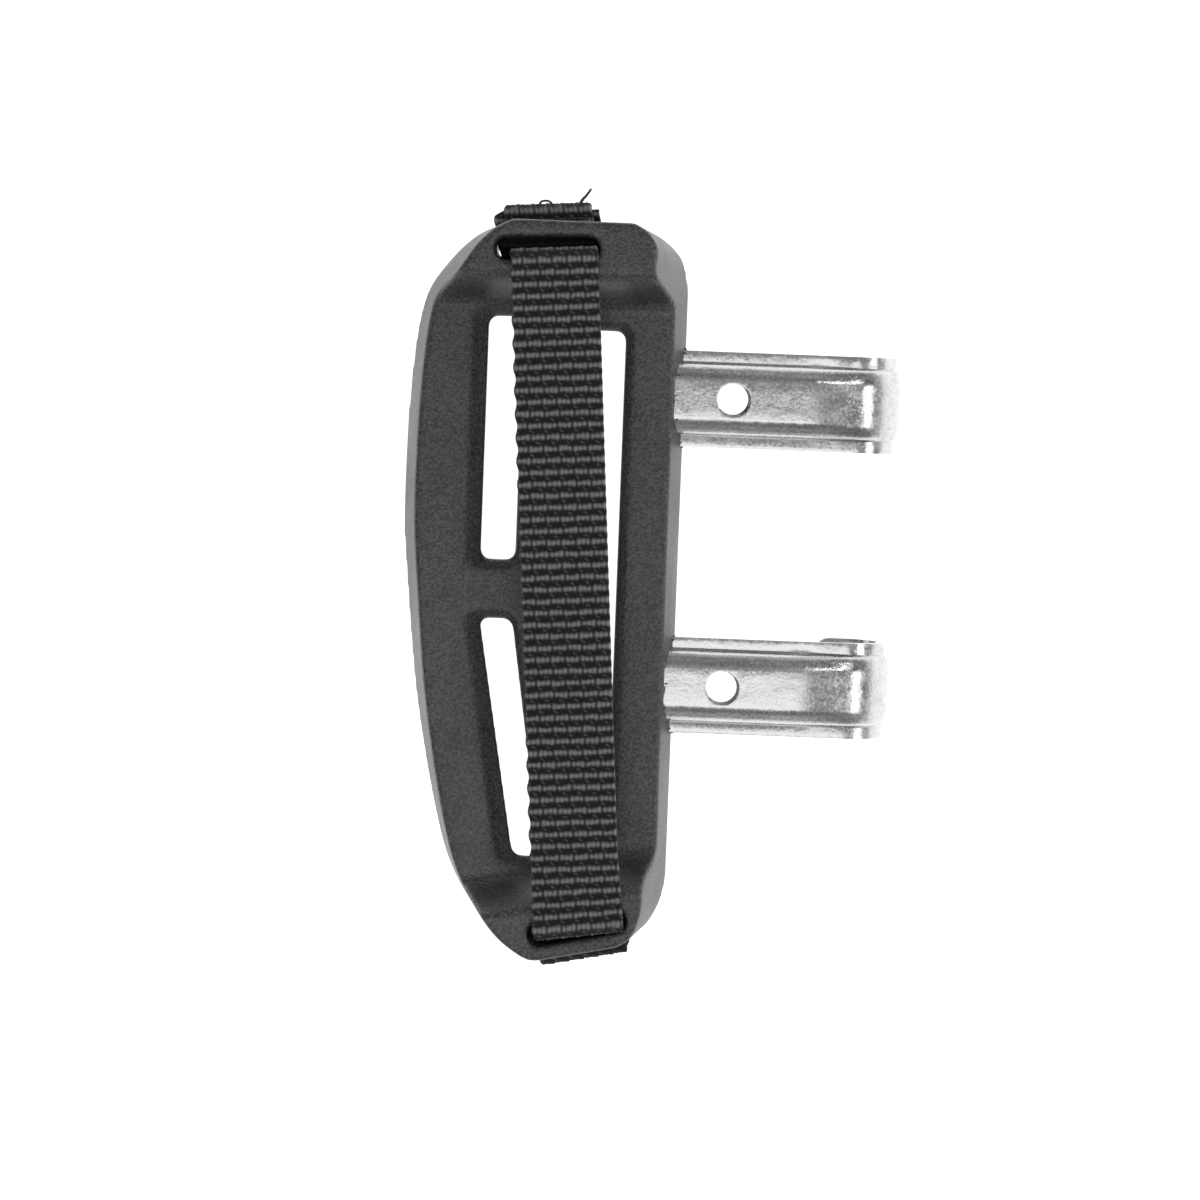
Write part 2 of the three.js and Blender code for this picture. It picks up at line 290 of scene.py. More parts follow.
class Sketch:
    """A node material under construction."""

    def __init__(self, name: str) -> None:
        """Start a material whose only nodes are its output and a principled shader.

        Args:
            name: The material's name.
        """
        self.material = bpy.data.materials.new(name)
        self.material.use_nodes = True
        self.tree = self.material.node_tree
        self.shader = next(n for n in self.tree.nodes if n.type == "BSDF_PRINCIPLED")

    def set(self, **values: object) -> None:
        """Set constants on the shader's own sockets; underscores stand for spaces."""
        for key, value in values.items():
            self.shader.inputs[key.replace("_", " ")].default_value = value

    def node(self, kind: str, inputs: dict[str | int, object] | None = None, **settings: object) -> bpy.types.Node:
        """Add a node.

        Args:
            kind: Its type, without the ShaderNode in front.
            inputs: A value or another node's socket for each of its inputs.
            settings: Its own properties.

        Returns:
            The node.
        """
        made = self.tree.nodes.new(f"ShaderNode{kind}")
        for key, value in settings.items():
            setattr(made, key, value)
        for key, value in (inputs or {}).items():
            if isinstance(value, bpy.types.NodeSocket):
                self.tree.links.new(value, made.inputs[key])
            else:
                made.inputs[key].default_value = value
        return made

    def into(self, key: str, socket: bpy.types.NodeSocket) -> None:
        """Join a socket to one of the shader's inputs."""
        self.tree.links.new(socket, self.shader.inputs[key])

    def place(self) -> bpy.types.NodeSocket:
        """Return the object's own coordinates, in metres."""
        return self.node("TexCoord").outputs["Object"]

    def grain(self, scale: float, detail: float = 2.0, stretch: tuple[float, float, float] = (1, 1, 1)) -> bpy.types.NodeSocket:
        """Add a noise on the object's own coordinates.

        Args:
            scale: How many of its blobs fit in a metre.
            detail: How many finer layers it has.
            stretch: How it is scaled along each axis.

        Returns:
            The noise's value.
        """
        mapped = self.node("Mapping", {"Vector": self.place(), "Scale": stretch})
        made = self.node("TexNoise", {"Vector": mapped.outputs["Vector"], "Scale": scale, "Detail": detail})
        return made.outputs["Fac"]

    def ramp(self, value: bpy.types.NodeSocket, stops: list[tuple[float, tuple[float, ...]]]) -> bpy.types.NodeSocket:
        """Turn a value into a colour.

        Args:
            value: The socket that drives it.
            stops: Each place on the ramp and its linear colour.

        Returns:
            The colour socket.
        """
        made = self.node("ValToRGB", {"Fac": value})
        points = made.color_ramp.elements
        while len(points) < len(stops):
            points.new(0.5)
        for point, (place, colour) in zip(points, stops):
            point.position = place
            point.color = (*colour, 1.0)
        return made.outputs["Color"]

    def spread(self, value: bpy.types.NodeSocket, source: tuple[float, float], target: tuple[float, float]) -> bpy.types.NodeSocket:
        """Map one range of a value onto another.

        Args:
            value: The socket to map.
            source: The range it comes from.
            target: The range it goes to.

        Returns:
            The mapped value.
        """
        keys = {"Value": value, "From Min": source[0], "From Max": source[1], "To Min": target[0], "To Max": target[1]}
        return self.node("MapRange", keys).outputs["Result"]

    def blend(self, share: bpy.types.NodeSocket, first: object, second: object) -> bpy.types.NodeSocket:
        """Mix two colours.

        Args:
            share: How much of the second one shows.
            first: A colour or a socket.
            second: A colour or a socket.

        Returns:
            The mixed colour.
        """
        return self.node("Mix", {0: share, 6: first, 7: second}, data_type="RGBA").outputs[2]

    def maths(self, operation: str, first: object, second: object = 0.0) -> bpy.types.NodeSocket:
        """Add a math node.

        Args:
            operation: What it does, as Blender names it.
            first: Its first value or socket.
            second: Its second value or socket.

        Returns:
            The result.
        """
        return self.node("Math", {0: first, 1: second}, operation=operation).outputs["Value"]

    def relief(self, height: bpy.types.NodeSocket, depth: float, below: bpy.types.NodeSocket | None = None) -> bpy.types.NodeSocket:
        """Add a bump.

        Args:
            height: The socket that holds its height, from 0 to 1.
            depth: How deep that is, in metres.
            below: A bump that this one lies on.

        Returns:
            The normal.
        """
        keys = {"Height": height, "Distance": depth, "Strength": 1.0}
        if below is not None:
            keys["Normal"] = below
        return self.node("Bump", keys).outputs["Normal"]


@dataclass(frozen=True)
class Moulding:
    """Black moulded plastic with a fine spark-eroded grain."""

    dark: tuple[float, float, float] = (0.004, 0.004, 0.004)
    light: tuple[float, float, float] = (0.088, 0.088, 0.089)
    speck: tuple[float, float, float] = (0.14, 0.14, 0.14)
    roughness: tuple[float, float] = (0.36, 0.50)
    grain_scale: float = 1800.0
    grain_depth: float = 0.00014

    def build(self) -> bpy.types.Material:
        """Return the finish as a material."""
        s = Sketch("black_moulding")
        fine = s.grain(self.grain_scale, 2.5)
        broad = s.grain(60.0, 3.0)
        speckle = s.spread(fine, (0.36, 0.66), (0.0, 1.0))
        cloud = s.spread(broad, (0.3, 0.7), (-0.12, 0.12))
        colour = s.ramp(s.maths("ADD", speckle, cloud), [(0.0, self.dark), (1.0, self.light)])
        dust = s.spread(s.grain(2000.0, 0.0), (0.835, 0.86), (0.0, 1.0))
        s.into("Base Color", s.blend(dust, colour, (*self.speck, 1.0)))
        s.into("Roughness", s.spread(s.grain(35.0, 4.0), (0.3, 0.7), self.roughness))
        s.into("Normal", s.relief(fine, self.grain_depth))
        s.set(Specular_IOR_Level=0.8)
        return s.material


@dataclass(frozen=True)
class Zinc:
    """Bright zinc plate on pressed steel, lightly rubbed along the strip."""

    base: tuple[float, float, float] = (0.62, 0.625, 0.625)
    dull: tuple[float, float, float] = (0.44, 0.445, 0.445)
    roughness: tuple[float, float] = (0.16, 0.32)

    def build(self) -> bpy.types.Material:
        """Return the finish as a material."""
        s = Sketch("zinc_plated_steel")
        spangle = s.grain(1500.0, 3.0)
        rubbed = s.grain(420.0, 4.0, (0.12, 1.0, 1.0))
        mixed = s.maths("ADD", s.maths("MULTIPLY", spangle, 0.55), s.maths("MULTIPLY", rubbed, 0.45))
        s.into("Base Color", s.ramp(mixed, [(0.36, self.dull), (0.56, self.base)]))
        s.into("Roughness", s.spread(mixed, (0.38, 0.62), self.roughness))
        s.into("Normal", s.relief(spangle, 0.00004, s.relief(s.grain(260.0, 2.0), 0.00012)))
        s.set(Metallic=1.0)
        return s.material


@dataclass(frozen=True)
class Webbing:
    """Black ribbed webbing: bricked groups of weft ribs with flecked recesses between them, with painted shade in the
    recesses and notches and a painted highlight on the rib crowns.
    """

    # rib carries a painted highlight on the rib crowns, deep_shade is painted shade in the recesses, notches and
    # slots, and body is the yarn's own tone.
    rib: tuple[float, float, float] = (0.25, 0.25, 0.255)
    body: tuple[float, float, float] = (0.055, 0.055, 0.057)
    deep_shade: tuple[float, float, float] = (0.010, 0.010, 0.010)
    pitch: float = 2.67
    group: float = 3.38
    split: float = 0.62
    brick: float = 0.82

    def _near(self, s: Sketch, distance: bpy.types.NodeSocket, clear: float, far: float) -> bpy.types.NodeSocket:
        """Return 0 within a distance of a line and 1 beyond it.

        Args:
            s: The material being made.
            distance: The distance, in millimetres.
            clear: Where it leaves 0.
            far: Where it reaches 1.

        Returns:
            The value.
        """
        keys = {"Value": distance, "From Min": clear, "From Max": far}
        return s.node("MapRange", keys, interpolation_type="SMOOTHSTEP").outputs["Result"]

    def _cell(self, s: Sketch, row: bpy.types.NodeSocket, across: bpy.types.NodeSocket) -> bpy.types.NodeSocket:
        """Return the place within a group of yarns, mirrored in every other row.

        Args:
            s: The material being made.
            row: The number of the row.
            across: Distance from the middle of the webbing.

        Returns:
            The place, from 0 to 1.
        """
        odd = s.maths("FLOORED_MODULO", row, 2.0)
        turn = s.maths("SUBTRACT", 1.0, s.maths("MULTIPLY", odd, 2.0))
        place = s.maths("MULTIPLY", s.maths("DIVIDE", across, self.group), turn)
        return s.maths("FRACT", s.maths("ADD", place, s.maths("MULTIPLY", odd, self.brick)))

    def _shaded_ribs(self, s: Sketch, run: bpy.types.NodeSocket, across: bpy.types.NodeSocket) -> bpy.types.NodeSocket:
        """Return the ribs, split into groups and yarns by notches, with painted shade: lighter on the crown of each
        bead and darker at its edges and in the notches.

        Args:
            s: The material being made.
            run: Distance along the webbing.
            across: Distance from its middle.

        Returns:
            1 on the painted crown of a rib and 0 in the painted shade of a notch or a recess.
        """
        rows = s.maths("DIVIDE", run, self.pitch)
        row = s.maths("FLOOR", rows)
        off = s.maths("ABSOLUTE", s.maths("SUBTRACT", s.maths("FRACT", rows), 0.5))
        cell = self._cell(s, row, across)
        ends = s.maths("MULTIPLY", s.maths("MINIMUM", cell, s.maths("SUBTRACT", 1.0, cell)), self.group)
        bead = s.maths("ABSOLUTE", s.maths("SINE", s.maths("MULTIPLY", cell, 3 * math.pi)))
        narrow = s.maths("GREATER_THAN", cell, self.split)
        swell = s.maths("ADD", s.maths("MULTIPLY", narrow, 0.10), s.maths("MULTIPLY", bead, 0.12))
        half = s.maths("ADD", 0.66, swell)
        drop = s.maths("SUBTRACT", s.maths("MULTIPLY", off, self.pitch), half)
        # band fades each rib to painted shade at its edges, notch paints shade at the ends of each group, and
        # bead_shading paints a highlight on each bead's crown.
        band = s.maths("SUBTRACT", 1.0, self._near(s, drop, -0.74, 0.28))
        notch = s.maths("ADD", 0.50, s.maths("MULTIPLY", self._near(s, ends, 0.0, 0.62), 0.50))
        bead_shading = s.maths("ADD", 0.70, s.maths("MULTIPLY", s.maths("POWER", bead, 0.8), 0.30))
        return s.maths("MULTIPLY", s.maths("MULTIPLY", band, notch), bead_shading)

    def _flecks(self, s: Sketch, run: bpy.types.NodeSocket, across: bpy.types.NodeSocket) -> bpy.types.NodeSocket:
        """Return the slanted flecks of yarn that show in the recesses.

        Args:
            s: The material being made.
            run: Distance along the webbing.
            across: Distance from its middle.

        Returns:
            1 in the middle of a fleck and 0 outside it.
        """
        rows = s.maths("ADD", s.maths("DIVIDE", run, self.pitch), 0.5)
        row = s.maths("FLOOR", rows)
        off = s.maths("MULTIPLY", s.maths("SUBTRACT", s.maths("FRACT", rows), 0.5), self.pitch)
        odd = s.maths("FLOORED_MODULO", row, 2.0)
        shifted = s.maths("ADD", s.maths("DIVIDE", across, self.group), s.maths("MULTIPLY", odd, 0.42))
        side = s.maths("MULTIPLY", s.maths("SUBTRACT", s.maths("FRACT", shifted), 0.5), self.group)
        long_way = s.maths("ADD", s.maths("MULTIPLY", side, 0.86), s.maths("MULTIPLY", off, -0.5))
        short_way = s.maths("ADD", s.maths("MULTIPLY", side, 0.5), s.maths("MULTIPLY", off, 0.86))
        size = s.maths(
            "ADD",
            s.maths("POWER", s.maths("DIVIDE", s.maths("ABSOLUTE", long_way), 0.62), 2.0),
            s.maths("POWER", s.maths("DIVIDE", s.maths("ABSOLUTE", short_way), 0.26), 2.0),
        )
        return s.maths("SUBTRACT", 1.0, self._near(s, size, 0.2, 1.6))

    def _painted_slot_shade(self, s: Sketch) -> bpy.types.NodeSocket:
        """Return the painted shade on the webbing that lies down inside a slot, which darkens its colour there.

        Args:
            s: The material being made.

        Returns:
            1 in the open, less inside a slot.
        """
        parts = s.node("SeparateXYZ", {"Vector": s.place()}).outputs
        deep = s.spread(parts["Z"], (0.0260, 0.0235), (0.0, 1.0))
        inside = s.spread(s.maths("ABSOLUTE", parts["Y"]), (0.0835, 0.0820), (0.0, 1.0))
        return s.maths("SUBTRACT", 1.0, s.maths("MULTIPLY", s.maths("MULTIPLY", deep, inside), 0.85))

    def build(self) -> bpy.types.Material:
        """Return the finish as a material."""
        s = Sketch("black_webbing")
        drift = s.maths("MULTIPLY", s.maths("SUBTRACT", s.grain(420.0, 2.0), 0.5), 0.9)
        run = s.maths("ADD", s.node("Attribute", attribute_name="run").outputs["Fac"], drift)
        across = s.node("Attribute", attribute_name="across").outputs["Fac"]
        bent = s.maths("ADD", across, s.maths("MULTIPLY", drift, 0.5))
        ribs = self._shaded_ribs(s, run, bent)
        flecks = s.maths("MULTIPLY", self._flecks(s, run, bent), 0.34)
        yarn = s.maths("ABSOLUTE", s.maths("SINE", s.maths("ADD", s.maths("MULTIPLY", bent, 9.0), s.maths("MULTIPLY", run, 5.0))))
        fuzz = s.maths("MULTIPLY", s.maths("SUBTRACT", s.grain(4200.0, 3.0), 0.5), 0.42)
        tone = s.maths("ADD", s.maths("MAXIMUM", s.maths("MULTIPLY", ribs, 0.82), flecks), s.maths("MULTIPLY", yarn, 0.10))
        # The tone is multiplied by the painted slot shade, so what lies down inside a slot is darker.
        tone = s.maths("MULTIPLY", s.maths("ADD", tone, fuzz), self._painted_slot_shade(s))
        # The ramp runs from the painted shade of recesses and slots, through the yarn's own tone, to the painted
        # highlight on the rib crowns.
        s.into("Base Color", s.ramp(tone, [(0.05, self.deep_shade), (0.34, self.body), (0.88, self.rib)]))
        s.into("Roughness", s.spread(ribs, (0.0, 1.0), (0.92, 0.62)))
        s.into("Normal", s.relief(s.maths("ADD", tone, fuzz), 0.00016))
        s.set(Specular_IOR_Level=0.35, Sheen_Weight=0.08, Sheen_Roughness=0.5)
        return s.material


@dataclass(frozen=True)
class Thread:
    """Black bonded thread with a slight twist in its shine."""

    dark: tuple[float, float, float] = (0.014, 0.014, 0.015)
    light: tuple[float, float, float] = (0.075, 0.075, 0.078)

    def build(self) -> bpy.types.Material:
        """Return the finish as a material."""
        s = Sketch("black_thread")
        twist = s.grain(3200.0, 2.0, (1.0, 0.5, 1.0))
        s.into("Base Color", s.ramp(twist, [(0.35, self.dark), (0.66, self.light)]))
        s.into("Roughness", s.spread(twist, (0.3, 0.7), (0.5, 0.75)))
        s.into("Normal", s.relief(twist, 0.00006))
        return s.material


# ---- hook brackets ----


@dataclass
class HookBracket:
    """One pressed steel hook bracket: a hat section with a bolt hole, bent back into a hook."""

    name: str
    y: float
    dent_x: float
    dent_half: float
    width: float = 22.5
    sheet: float = 2.0
    flange_z: float = 1.0
    crown: float = 5.5
    crown_flat: float = 4.1
    crown_shoulder: float = 6.3
    crown_foot: float = 8.5
    tang_x: float = 16.5
    bend_x: float = 67.1
    bend_radius: float = 8.5
    return_length: float = 5.6
    bend_crown: float = 0.22
    fade_x: float = 55.0
    corner: float = 3.4
    bolt_x: float = 38.8
    bolt_radius: float = 4.0

    def section(self) -> list[tuple[float, float]]:
        """Return the middle line of the hat section, as (across, up) from the flanges' middle."""
        half, h = self.width / 2, self.crown
        foot, shoulder, flat = self.crown_foot, self.crown_shoulder, self.crown_flat
        riser = interpolate_bezier(
            Vector((foot, 0)), Vector((foot - 1.2, 0)), Vector((foot - 0.6, 0.7 * h)), Vector((shoulder, 0.8 * h)), 9
        )
        turn = interpolate_bezier(
            Vector((shoulder, 0.8 * h)), Vector((shoulder - 0.8, 0.9 * h)), Vector((flat + 0.9, h)), Vector((flat, h)), 7
        )
        side = [(half, 0.0), (half - 0.9, 0.0)] + [(p.x, p.y) for p in riser] + [(p.x, p.y) for p in turn[1:]]
        side += [(flat * 0.5, h)]
        return [(-a, b) for a, b in side] + [(0.0, h)] + side[::-1]

    def stations(self) -> list[float]:
        """Return the places along the flat strip where it has an edge across."""
        arc = math.pi * self.bend_radius
        straight = [self.tang_x + (self.bend_x - self.tang_x) * i / 44 for i in range(44)]
        bend = [self.bend_x + arc * i / 30 for i in range(31)]
        end = self.bend_x + arc + self.return_length
        tail = [end - self.return_length * (1 - i / 12) ** 1.6 for i in range(1, 13)]
        return straight + bend + tail

    def _bent(self, x: float, across: float, up: float) -> Vector:
        """Return where a point of the pressed strip ends up once its end is bent.

        Args:
            x: Its place along the flat strip.
            across: Its place across, from the middle.
            up: Its height above the flanges' middle.

        Returns:
            Its place on the bracket, with the bracket's middle at y = 0.
        """
        arc = math.pi * self.bend_radius
        fade = smooth_step(x, self.fade_x, self.bend_x + 0.4 * arc)
        high = up * (1 - (1 - self.bend_crown) * fade) + self.sheet / 2
        end = self.bend_x + arc + self.return_length
        into = max(self.corner - (end - x), 0.0) / self.corner
        narrow = self.corner * (1 - math.sqrt(max(1 - into * into, 0.0)))
        spare = self.width / 2 - self.crown_foot + 2.0
        if abs(across) > self.crown_foot - 2.0:
            inner = self.crown_foot - 2.0
            across = math.copysign(inner + (abs(across) - inner) * (1 - min(narrow, spare * 0.92) / spare), across)
        dent = math.hypot((x - self.dent_x) / self.dent_half, (across - 8.6) / 1.7)
        high -= 0.26 * (1 - smooth_step(dent, 0.55, 1.0))
        bent = x - self.bend_x
        if bent <= 0:
            return Vector((x, across, self.flange_z + high))
        turn = min(bent / self.bend_radius, math.pi)
        tail = max(bent - arc, 0.0)
        reach = self.bend_radius + high
        middle = self.flange_z - self.bend_radius
        return Vector((self.bend_x + reach * math.sin(turn) - tail, across, middle + reach * math.cos(turn)))

    def pocket(self, far: float, grow: float) -> bmesh.types.BMesh:
        """Return the space that the embedded tang takes.

        Args:
            far: Where it ends along X, outside the plate.
            grow: Clearance round the steel.

        Returns:
            The solid as a new bmesh.
        """
        line = [Vector((a, b)) for a, b in self.section()]
        thick = self.sheet / 2 + grow
        sides = []
        for way in (-thick, thick):
            for i, p in enumerate(line):
                along = line[min(i + 1, len(line) - 1)] - line[max(i - 1, 0)]
                off = Vector((-along.y, along.x)).normalized() * way
                sides.append(p + off)
        ring = sides[: len(line)] + sides[len(line):][::-1]
        points = [(self.tang_x - grow, p.x, p.y + self.flange_z + self.sheet / 2) for p in ring]
        bm = bmesh.new()
        face = flat_face(bm, points)
        push(bm, face, (far - self.tang_x + grow, 0, 0))
        bmesh.ops.translate(bm, verts=bm.verts[:], vec=(0, self.y, 0))
        return bm

    def _strip(self) -> bmesh.types.BMesh:
        """Return the bent sheet as a surface through its middle."""
        bm = bmesh.new()
        stations = self.stations()
        row = [bm.verts.new((stations[0], a, b)) for a, b in self.section()]
        edges = [bm.edges.new(pair) for pair in zip(row, row[1:])]
        for before, after in zip(stations, stations[1:]):
            made = bmesh.ops.extrude_edge_only(bm, edges=edges)["geom"]
            edges = [g for g in made if isinstance(g, bmesh.types.BMEdge)]
            moved = [g for g in made if isinstance(g, bmesh.types.BMVert)]
            bmesh.ops.translate(bm, verts=moved, vec=(after - before, 0, 0))
        for v in bm.verts:
            v.co = self._bent(v.co.x, v.co.y, v.co.z)
        bmesh.ops.recalc_face_normals(bm, faces=bm.faces[:])
        return bm

    def _hole(self) -> bmesh.types.BMesh:
        """Return the punch for the bolt hole, wider towards the face it was deburred from."""
        bm = bmesh.new()
        top = self.flange_z + self.sheet + self.crown
        bore = self.bolt_radius - 0.4
        profile = [(0.0, -9.0), (bore, -9.0), (bore, -0.75)]
        profile += [(self.bolt_radius + 0.05, -0.3), (self.bolt_radius + 0.2, 3.0), (0.0, 3.0)]
        verts = [bm.verts.new((r, 0, z)) for r, z in profile]
        edges = [bm.edges.new(pair) for pair in zip(verts, verts[1:])]
        bmesh.ops.spin(
            bm, geom=verts + edges, cent=(0, 0, 0), axis=(0, 0, 1), angle=2 * math.pi, steps=56, use_merge=True
        )
        bmesh.ops.remove_doubles(bm, verts=bm.verts[:], dist=1e-4)
        through = [v for v in bm.verts if v.co.z < -0.5]
        bmesh.ops.translate(bm, verts=through, vec=(-0.22, 0.26, 0))
        bmesh.ops.recalc_face_normals(bm, faces=bm.faces[:])
        bmesh.ops.translate(bm, verts=bm.verts[:], vec=(self.bolt_x, 0, top))
        return bm

    def build(self, finish: bpy.types.Material) -> bpy.types.Object:
        """Make the bracket.

        Args:
            finish: Its material.

        Returns:
            The finished piece.
        """
        obj = thing(self._strip(), f"{self.name}_steel")
        thick = obj.modifiers.new("sheet", "SOLIDIFY")
        thick.thickness = self.sheet
        thick.offset = 0.0
        thick.use_even_offset = True
        settle(obj)
        carve(obj, [self._hole()])
        edge = obj.modifiers.new("edge", "BEVEL")
        edge.width = 0.28
        edge.segments = 3
        edge.limit_method = "ANGLE"
        edge.angle_limit = math.radians(42)
        settle(obj)
        obj.data.transform(Matrix.Translation((0, self.y, 0)))
        return finish_piece(obj, finish, (self.name,), sharp=40.0)


# ---- grip plate ----


@dataclass
class Slot:
    """A round-ended slot for the strap through a hump, with a walled tunnel under it."""

    end: End
    x: float
    y: float
    tilt: float
    length: float
    width: float = 6.0
    throat: float = 0.95
    lip: float = 0.45
    taper: tuple[tuple[float, float], ...] = ((3.0, 0.3), (6.0, 0.45), (10.0, 0.7))
    pinch: float = 0.0
    bar_z: float = 20.0
    door: float = 23.0
    reach: float = 12.0
    tunnel_z: float = 5.0
    tunnel_wall: float = 2.0

    def _hole(self, grow: float, low: float, high: float, pinch: float = 0.0) -> bmesh.types.BMesh:
        """Return the slot's shape as a prism, its outline moved outwards by grow and its ends in by pinch."""
        half, wide = self.length / 2 + grow - pinch, self.width / 2 + grow
        corners = [(-half, -wide), (half, -wide), (half, wide), (-half, wide)]
        return turned(prism(corners, low, high, wide * 0.96), self.tilt, (self.x, self.y, 0))

    def tunnel(self, top: float) -> bmesh.types.BMesh:
        """Return the solid that leaves a wall round the slot inside the hump."""
        return self._hole(self.tunnel_wall - self.throat, self.tunnel_z, top)

    def cutters(self, top: float) -> list[bmesh.types.BMesh]:
        """Return the slot with its rounded lip and the opening in the end wall below its bar.

        Args:
            top: Height of the hump.

        Returns:
            The solids to cut away.
        """
        steps = 3
        mouth = self.taper[0][1]
        cuts = [self._hole(-self.throat, -1, top + 1)]
        for depth, inset in self.taper:
            cuts.append(self._hole(-inset, top - depth, top + 1, self.pinch if inset > mouth else 0.0))
        for i in range(steps):
            turn = (i + 0.5) / steps * math.pi / 2
            grow = self.lip * (1 - math.cos(turn)) - mouth
            cuts.append(self._hole(grow, top - self.lip * (1 - math.sin(turn)), top + 1))
        out = self.reach * self.end.value
        door = block((-self.door / 2, min(-1, out), -1), (self.door / 2, max(1, out), self.bar_z))
        return cuts + [turned(door, self.tilt, (self.x, self.y, 0))]


@dataclass
class Window:
    """A long window through the face, with soft slopes leading into it."""

    corners: list[tuple[float, float]]
    slopes: tuple[float, float]
    ends: float = 2.2
    depth: float = 1.9
    radius: float = 2.0

    def through(self, top: float) -> bmesh.types.BMesh:
        """Return the window as a solid to cut away, from below the rim to above the top."""
        return prism(self.corners, -1, top, self.radius)

    def walls(self, wall: float, top: float) -> bmesh.types.BMesh:
        """Return the solid that leaves a wall round the window behind the face.

        Args:
            wall: Thickness of that wall.
            top: Height of the face.

        Returns:
            The solid as a new bmesh.
        """
        return prism(self._grown(wall, wall, wall), -2, top, self.radius + wall / 2)

    def _grown(self, left: float, right: float, ends: float) -> list[tuple[float, float]]:
        """Return the corners moved out: left and right sideways, and both ends along Y."""
        (ax, ay), (bx, by), (cx, cy), (dx, dy) = self.corners
        return [(ax - left, ay - ends), (bx + right, by - ends), (cx + right, cy + ends), (dx - left, dy + ends)]

    def relieved(self, face_z: float) -> bmesh.types.BMesh:
        """Return the wider space behind the face, so that only the face's own edge is seen from above.

        Args:
            face_z: Height of the face.

        Returns:
            The solid as a new bmesh.
        """
        return prism(self._grown(1.0, 1.0, 1.3), -2, face_z - 3.6, self.radius + 0.5)

    def lead_in(self, face_z: float) -> bmesh.types.BMesh:
        """Return the tapered solid that cuts the slopes round the window.

        Args:
            face_z: Height of the face.

        Returns:
            The solid as a new bmesh.
        """
        bm = bmesh.new()
        lower = flat_face(bm, self.corners, self.radius)
        bmesh.ops.translate(bm, verts=list(lower.verts), vec=(0, 0, face_z - self.depth))
        moved = push(bm, lower, (0, 0, self.depth + 0.25))
        left, right = self.slopes
        middle_y = sum(p[1] for p in self.corners) / 4
        for v in moved:
            share = (v.co.y - self.corners[0][1]) / (self.corners[3][1] - self.corners[0][1])
            low_x = self.corners[0][0] + share * (self.corners[3][0] - self.corners[0][0])
            high_x = self.corners[1][0] + share * (self.corners[2][0] - self.corners[1][0])
            side = (v.co.x - low_x) / (high_x - low_x)
            v.co.x += right * side - left * (1 - side)
            v.co.y += math.copysign(self.ends, v.co.y - middle_y)
        return bm


